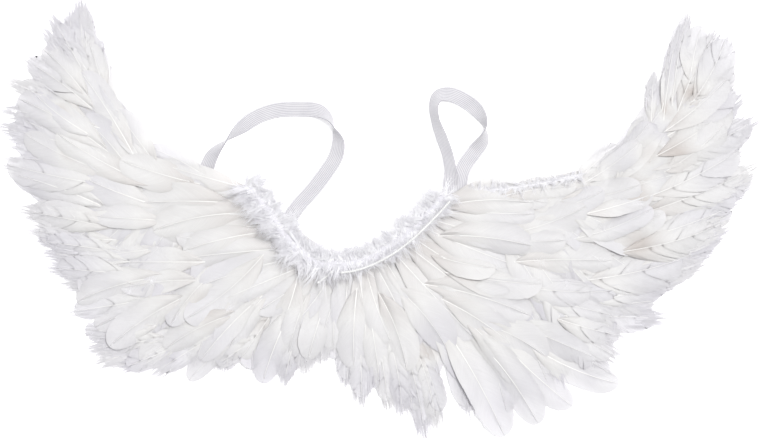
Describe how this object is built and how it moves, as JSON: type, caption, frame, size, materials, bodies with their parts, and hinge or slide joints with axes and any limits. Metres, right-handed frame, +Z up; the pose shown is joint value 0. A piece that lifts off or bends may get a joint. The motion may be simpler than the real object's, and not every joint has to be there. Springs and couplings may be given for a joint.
{
  "type": "costume angel wings",
  "caption": "White feather angel wings with a down trim along the neckline and two elastic arm loops, lying flat.",
  "frame": {"origin": "on the surface that the wings lie on, below the middle of their bounding box", "axes": "+X along the span towards the wing on the right of the picture, +Y in the plane towards the neckline and the straps, +Z up, away from the surface, out of the feathered side"},
  "size_m": [0.6009, 0.348, 0.0274],
  "materials": {
    "felt": "matte",
    "feather": "satin",
    "down": "matte",
    "cord": "matte",
    "elastic": "satin"
  },
  "bodies": {
    "root": {"base_panel": "felt", "left_outer_feathers": "feather", "right_outer_feathers": "feather", "left_middle_feathers": "feather", "right_middle_feathers": "feather", "left_inner_feathers": "feather", "right_inner_feathers": "feather", "left_covert_feathers": "feather", "right_covert_feathers": "feather", "down_trim": "down", "edge_down": "down", "trim_cord": "cord", "left_strap": "elastic", "right_strap": "elastic"}
  },
  "joints": []
}
